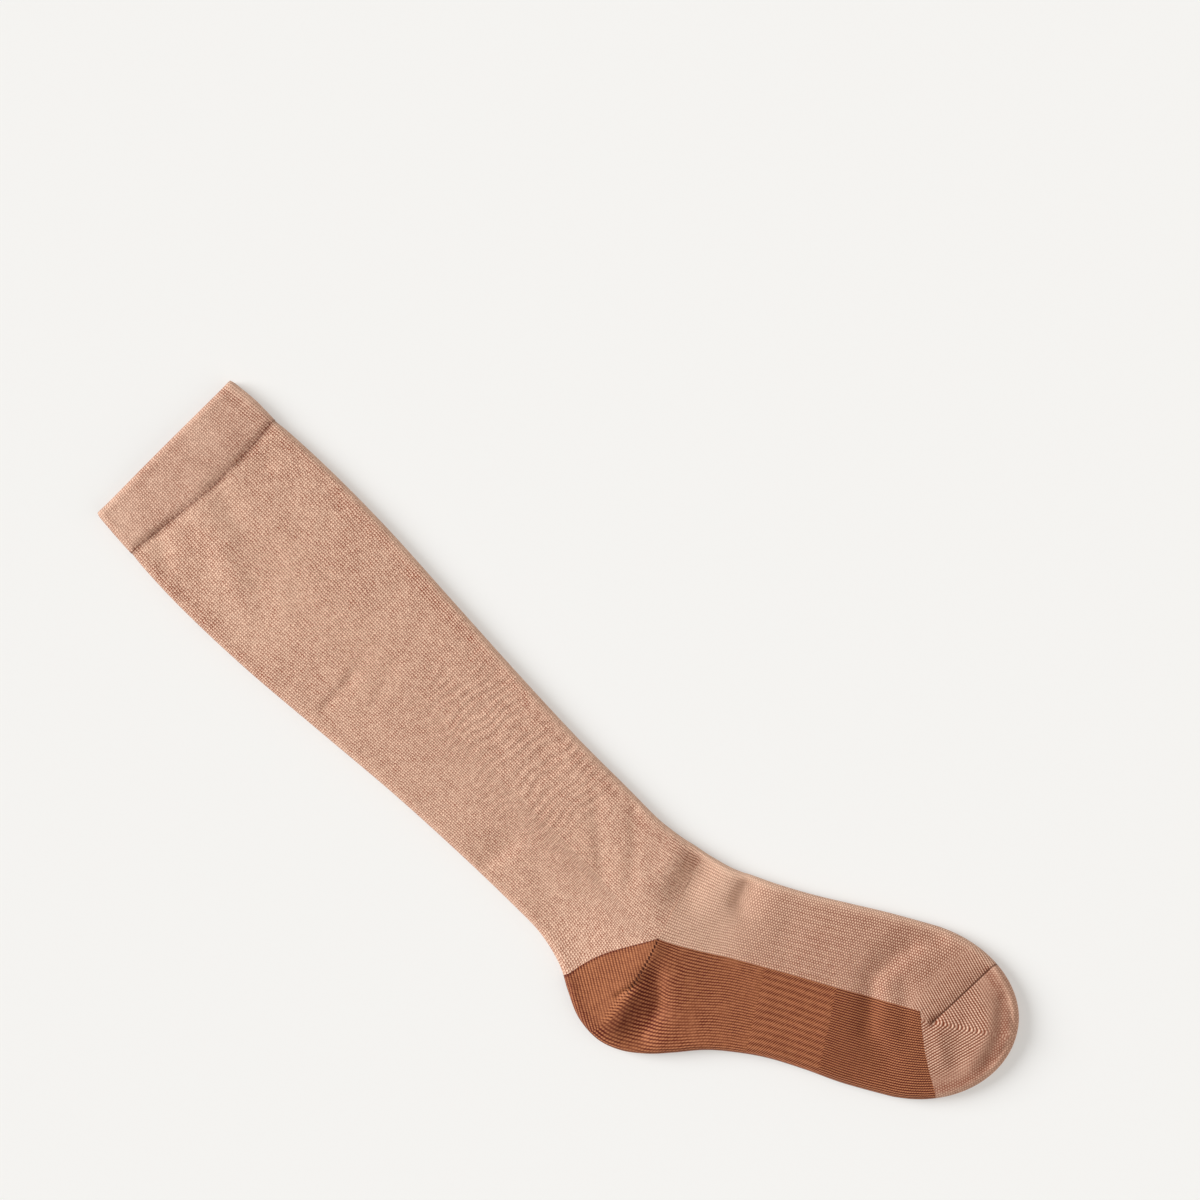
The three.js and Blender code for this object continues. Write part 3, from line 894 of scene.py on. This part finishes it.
def paintSole(wire, look):
    across, along = readMap(wire, "knit")
    heelAcross, heelAlong = readMap(wire, "heel")
    pastStart, pastEnd = readMap(wire, "arch")
    goreAlong, goreAside = readMap(wire, "gore")
    fromTop, fromEdge = readMap(wire, "top")
    fromRidge, fromFoot = readMap(wire, "hollow")
    rear, rearTint = rowKnit(wire, *wandering(wire, across, along, 6.0, 0.5), look)
    heel, heelTint = rowKnit(wire, *wandering(wire, heelAcross, heelAlong, 6.0, 0.6), look)
    front, frontTint = rowKnit(wire, *wandering(wire, across, along, 6.0, 0.5), frontLook)
    # The rows stand out more in some places than in others
    clear = noise(wire, 70.0, 1.0, 0.5).step(0.3, 0.62) * 0.6 + 0.52
    rear = (rear - 0.33) * clear + 0.33
    heel = (heel - 0.33) * clear * 0.85 + 0.33
    diagonal = (along / 1.25 + across / 2.0).wave()
    ribs = (across / look["ribPitch"]).wave() * 0.3 + diagonal * 0.8 - 0.22
    inHeel = goreAside.fade(-0.4, 0.4)
    inArch = pastStart.step(-0.3, 0.3)
    inFront = pastEnd.step(-0.3, 0.3)
    height = inArch.between(inHeel.between(rear, heel), ribs)
    height = inFront.between(height, front * 2.1 - 0.36)
    tint = inArch.between(inHeel.between(rearTint, heelTint), frontTint)
    light = knitLight(height, tint, look)
    # Painted light over the heel and over the ball of the sole, and the front rows a little darker
    light = light + inHeel * look["heelPaintedLight"] - inFront * look["frontShade"]
    light = light + pastEnd.step(15.0, 24.0) * inFront * look["ballPaintedLight"]
    # Painted shade in the heel's hollow, up to a clear edge, and a little painted shade beyond it
    hollow = goreAside.step(0.5, 4.0) * fromRidge.step(-0.8, 1.6) * fromFoot.step(-1.0, 5.0)
    light = light - hollow * goreAlong.step(8.0, 24.0) * look["hollowShade"]
    light = light - fromRidge.step(-16.0, -8.0) * fromRidge.fade(-1.5, 0.5) * 0.05
    light = light - fromEdge.fade(3.0, 13.0) * goreAside.fade(0.0, 12.0) * look["heelEdgeShade"]
    # Slanted holes down the gore line, between paler strands, and then only pale stitches
    place = goreAlong / gore["pitch"]
    inStitch = (place - place.maths("FLOOR", place) - 0.5) * gore["pitch"]
    lean = goreAlong.step(10.0, 30.0) * 0.7 + 0.5
    aside = abs(goreAside - inStitch * lean)
    opened = goreAlong.step(0.2, 1.0) * goreAlong.fade(30.0, 38.0)
    holeAndShade = aside.fade(0.3, 0.68) * abs(inStitch).fade(0.6, 0.95) * opened
    strand = abs(inStitch).step(0.6, 1.1) * 0.3 + 0.06
    strand = abs(goreAside).fade(0.7, 1.7) * opened * strand
    stitch = ((goreAlong / 1.9 + goreAside * 0.35).wave() - 0.4) * 0.9
    stitch = stitch * abs(goreAside + 0.4).fade(1.2, 3.2)
    stitch = stitch * goreAlong.step(27.0, 33.0) * goreAlong.fade(46.0, 56.0)
    light = light + strand + stitch
    # A darker first course, with a notch at each of its loops
    notch = (heelAcross / 1.3).wave() * 0.5 + 0.6
    light = light - fromTop.fade(0.3, 1.4) * notch * 0.4
    return light, height - holeAndShade * 0.4, holeAndShade


solePiece = {
    "wall": 1.5,
    "rows": 270,
    "turns": [(sideTurn, 0), (180 - foldTurn, 138), (180, 10), (180 + foldTurn, 8),
              (360 - sideTurn, 12)],
    "halfGirth": 52.64,  # what the rows' count is measured over
    "rowRise": 0.08,
    "ribRise": 0.45,
    "dents": 0.3,
}


def curveThrough(points, steps):
    # Catmull-Rom through a few points
    knots = np.array([points[0], *points, points[-1]], dtype=float)
    samples = []
    for index in range(len(points) - 1):
        a, b, c, d = knots[index:index + 4]
        for part in np.arange(steps) / steps:
            samples.append(0.5 * (2 * b + (c - a) * part + (2 * a - 5 * b + 4 * c - d) * part**2
                                  + (3 * b - a - 3 * c + d) * part**3))
    return np.array([*samples, points[-1]])


def alongCurve(curve, flat):
    # How far along the curve each point lies, and how far to its left
    places = flat.reshape(-1, 2)
    nearest = np.full(len(places), 1e9)
    along, aside = np.zeros(len(places)), np.zeros(len(places))
    gone = 0.0
    for start, stop in zip(curve, curve[1:]):
        run = stop - start
        length = np.hypot(*run)
        share = np.clip(((places - start) @ run) / length**2, 0, 1)
        away = places - start - share[:, None] * run
        distance = np.hypot(away[:, 0], away[:, 1])
        side = np.sign(run[0] * away[:, 1] - run[1] * away[:, 0])
        closer = distance < nearest
        nearest = np.where(closer, distance, nearest)
        along = np.where(closer, gone + share * length, along)
        aside = np.where(closer, side * distance, aside)
        gone += length
    return along.reshape(flat.shape[:-1]), aside.reshape(flat.shape[:-1])


def pastSeam(flat, seam):
    # How far past a seam each point of the foot lies
    side, back = sideOf(seam), np.array(seam["back"])
    past = np.array([back[1] - side[1], side[0] - back[0]])
    past *= np.sign(past @ alongFoot) / np.hypot(*past)
    return (flat - side) @ past


def archMap(flat):
    return np.stack([pastSeam(flat, seams["archStart"]), pastSeam(flat, seams["archEnd"])], axis=-1)


def heelMap(flat):
    # Round the heel the rows run down from the leg, and meet the sole's at the gore line
    turn = math.radians(gore["heelRowTurn"])
    away = flat - sideOf(seams["heelTop"])
    across = away @ np.array([math.cos(turn), math.sin(turn)])
    along = away @ np.array([-math.sin(turn), math.cos(turn)])
    return np.stack([across, along], axis=-1)


def makeSole():
    turns = turnsThrough(solePiece["turns"])
    start = stationPast(seams["heelTop"], turns)
    end = stationPast(seams["toe"], turns)
    station, turn = clothGrid(turns, start, end, solePiece["rows"])
    place, flat = clothPlace(station, turn, allFolds)
    girth = girthAt(place)
    share = girth / (girth[:, -1:] / 2)
    across = (1 - np.abs(1 - share)) * solePiece["halfGirth"]
    length = lengthAt(station)
    goreAlong, goreAside = alongCurve(curveThrough(gore["line"], 12), flat)
    goreAlong -= gore["ahead"]
    heel = heelMap(flat)
    arch = archMap(flat)
    toRight = (flat[..., 0] - flat[..., 1]) / math.sqrt(2)
    toTop = (flat[..., 0] + flat[..., 1]) / math.sqrt(2)
    # The rows stand up a little, the arch band's ribs more, and the gore's holes sink in
    inArch = smooth(arch[..., 0], -0.5, 0.5) * (1 - smooth(arch[..., 1], -0.5, 0.5))
    inRear = 1 - smooth(arch[..., 0], -0.5, 0.5)
    rowsAcross = np.where(goreAside > 0, across, heel[..., 0])
    rows = 0.5 + 0.5 * np.cos(2 * math.pi * rowsAcross / copperLook["rowPitch"])
    ribs = 0.5 + 0.5 * np.cos(2 * math.pi * across / copperLook["ribPitch"])
    x, y = place[..., 0], place[..., 1]
    dents = unevenness(x, y, 15.0, 6.4) + 0.4 * unevenness(x, y, 7.0, 8.6)
    rise = inRear * rows * solePiece["rowRise"] + inArch * ribs * solePiece["ribRise"]
    rise += dents * solePiece["dents"]
    place = lifted(place, rise * upperOnly(turn))
    maps = {
        "knit": np.stack([across, length], axis=-1),
        "heel": heel,
        "arch": arch,
        "gore": np.stack([goreAlong, goreAside], axis=-1),
        "hollow": np.stack([gore["hollowRight"] - toRight, toTop - gore["hollowBelow"]], axis=-1),
        "top": np.stack([length - length[0], np.abs(girth - girth[:, turns == 180])], axis=-1),
    }
    piece = clothPiece("sole_knit", place, maps)
    material = clothMaterial("sole_knit", copperLook, paintSole)
    finishCloth(piece, solePiece["wall"], ["heel", "sole_rear", "arch_band", "sole_front"],
                material)


toeLook = dict(
    footLook,
    rowPitch=1.36,
    linkPitch=1.3,
    linkDepth=0.6,
    contrast=1.15,
    wander=0.6,
    toeShade=0.2,
    rimPaintedLight=0.16,  # painted light on the rim, and painted shade in a band inside it
    rimShade=0.08,
)

toePiece = {
    "wall": 1.5,
    "rows": 125,
    "turns": [(0, 0), (foldTurn, 14), (180 - foldTurn, 196), (180 + foldTurn, 30),
              (360 - foldTurn, 46), (360, 14)],
    "rowRise": 0.13,
    "seamDepth": 0.55,
    "seamWidth": 0.5,
    "pocketDepth": 2.0,
    "pocketWidth": 1.6,
}


def paintToe(wire, look):
    across, along = readMap(wire, "knit")
    rim, _ = readMap(wire, "rim")
    seamAlong, seamAside = readMap(wire, "seam")
    loose = wandering(wire, across, along, 4.0, look["wander"])
    rows, rowTint = rowKnit(wire, *loose, look)
    beside, besideTint = seamRows(wire, seamAlong, seamAside)
    dots, dotTint = dotKnit(wire, *loose, look)
    dots = (dots - 0.33) * 0.5 + 0.33
    inRows = rim.step(7.0, 17.0)
    left = seamAside.step(-0.2, 0.2) * seamAlong.step(-4.0, 0.0)
    height = left.between(inRows.between(dots, rows), beside)
    tint = left.between(inRows.between(dotTint, rowTint), besideTint)
    # The linking seam is a dark line, open at its inner end
    line = abs(seamAside).fade(0.15, 0.7) * seamAlong.step(-0.5, 0.3)
    # Painted light on the rim, and painted shade in a band inside it
    light = knitLight(height, tint, look) - look["toeShade"] + rim.fade(2.5, 4.5) * look["rimPaintedLight"]
    light = light - rim.step(3.5, 5.0) * rim.fade(7.0, 9.0) * look["rimShade"]
    return light, height * (1 - line), line * 0.75


def makeToe():
    turns = turnsThrough(toePiece["turns"])
    start = stationPast(seams["toe"], turns)
    end = np.full_like(turns, tipStation)
    station, turn = clothGrid(turns, start, end, toePiece["rows"])
    place, flat = clothPlace(station, turn, allFolds)
    # The rows run in nested points about a line on from the seam's inner end
    away = flat - toeSeam["inner"]
    ahead = away @ alongFoot
    aside = away @ acrossFoot - ahead * 0.06
    aside = np.sqrt(aside**2 + 1.4)
    across = 0.70 * ahead + 0.714 * aside
    along = 0.70 * aside - 0.714 * ahead
    centre = onFoot(stocking["footLength"] - stocking["toeLength"], stocking["toeCentre"])
    out = flat - centre
    reach = np.hypot((out @ alongFoot) / stocking["toeLength"],
                     (out @ acrossFoot + 2) / (stocking["soleHalfWidth"] - 1))
    toRim = (1 - reach) * 48
    seam = toeSeamMap(flat)
    inRows = smooth(toRim, 5, 15) * smooth(-seam[..., 1], 0, 3)
    rows = 0.5 + 0.5 * np.cos(2 * math.pi * across / toeLook["rowPitch"])
    rise = inRows * toePiece["rowRise"] * rows
    # The linking seam sinks in, and gapes at its inner end
    past = np.maximum(0, -seam[..., 0])
    fromSeam = np.hypot(past, seam[..., 1])
    gape = 1 - smooth(seam[..., 0], 0, 9)
    depth = toePiece["seamDepth"] + (toePiece["pocketDepth"] - toePiece["seamDepth"]) * gape
    width = toePiece["seamWidth"] + (toePiece["pocketWidth"] - toePiece["seamWidth"]) * gape
    rise -= depth * np.exp(-((fromSeam / width) ** 2))
    place = lifted(place, rise * upperOnly(turn))
    maps = {
        "knit": np.stack([across, along], axis=-1),
        "rim": np.stack([toRim, aside], axis=-1),
        "seam": seam,
    }
    piece = clothPiece("toe_knit", place, maps, closeRing=True)
    material = clothMaterial("toe_knit", toeLook, paintToe)
    finishCloth(piece, toePiece["wall"], ["toe"], material)


studio = {
    "frameMm": 612.0,  # the photographed width and height
    "middle": (102.8, 131.6),
    "cameraHeight": 2.2,
    "turn": -45.0,
    "floorColour": (0.56, 0.565, 0.560),
    "floorGlow": (0.327, 0.337, 0.3325),  # the backlit surface, which keeps the shadows pale
    "worldColour": (1.0, 0.92, 0.86),
    "worldStrength": 0.35,
    # Strength, colour, degrees that the source fills, degrees above the floor, and degrees
    # round the picture from its right-hand side
    "window": (3.72, (1.0, 1.0, 1.01), 34.0, 28.0, 165.0),
    "reflector": (0.7, (1.0, 0.86, 0.78), 70.0, 38.0, -20.0),
}


def makeCamera():
    middleX, middleY = (c * metre for c in studio["middle"])
    camera = bpy.data.cameras.new("camera")
    cameraObject = bpy.data.objects.new("camera", camera)
    bpy.context.scene.collection.objects.link(cameraObject)
    cameraObject.location = (middleX, middleY, studio["cameraHeight"])
    cameraObject.rotation_euler = (0, 0, math.radians(studio["turn"]))
    toCloth = studio["cameraHeight"] - 0.005
    camera.lens = camera.sensor_width * toCloth / (studio["frameMm"] * metre)
    camera.clip_end = 20
    bpy.context.scene.camera = cameraObject


def makeLights():
    middleX, middleY = (c * metre for c in studio["middle"])
    bpy.ops.object.select_all(action="DESELECT")
    bpy.ops.mesh.primitive_plane_add(size=12, location=(0, 0, 0))
    floor = bpy.context.object
    floor.name = "floor"
    material, wire = newMaterial("floor_paint")
    shader = wire.node(
        "ShaderNodeBsdfPrincipled",
        None,
        {
            "Base Color": (*studio["floorColour"], 1),
            "Roughness": 0.9,
            "Specular IOR Level": 0.1,
            "Emission Color": (*studio["floorGlow"], 1),
            "Emission Strength": 1.0,
        },
    )
    wire.node("ShaderNodeOutputMaterial", None, {"Surface": shader})
    floor.data.materials.append(material)

    world = bpy.data.worlds.new("studio")
    bpy.context.scene.world = world
    world.use_nodes = True
    background = world.node_tree.nodes["Background"]
    background.inputs["Color"].default_value = (*studio["worldColour"], 1)
    background.inputs["Strength"].default_value = studio["worldStrength"]

    for name in ("window", "reflector"):
        strength, shade, spread, height, bearing = studio[name]
        sun = bpy.data.lights.new(name, "SUN")
        sun.energy = strength
        sun.color = shade
        sun.angle = math.radians(spread)
        sunObject = bpy.data.objects.new(name, sun)
        bpy.context.scene.collection.objects.link(sunObject)
        around = math.radians(bearing + studio["turn"])
        up = math.radians(height)
        flat = math.cos(up)
        aim = Vector((flat * math.cos(around), flat * math.sin(around), math.sin(up)))
        sunObject.location = (middleX + aim.x, middleY + aim.y, aim.z)
        sunObject.rotation_euler = aim.to_track_quat("Z", "Y").to_euler()
    bpy.context.scene.view_settings.view_transform = "Standard"


makeCamera()
print("camera placed")
makeWelt()
makeLeg()
makeInstep()
makeSole()
makeToe()
print("cloth made")
makeLights()
print("studio lit")
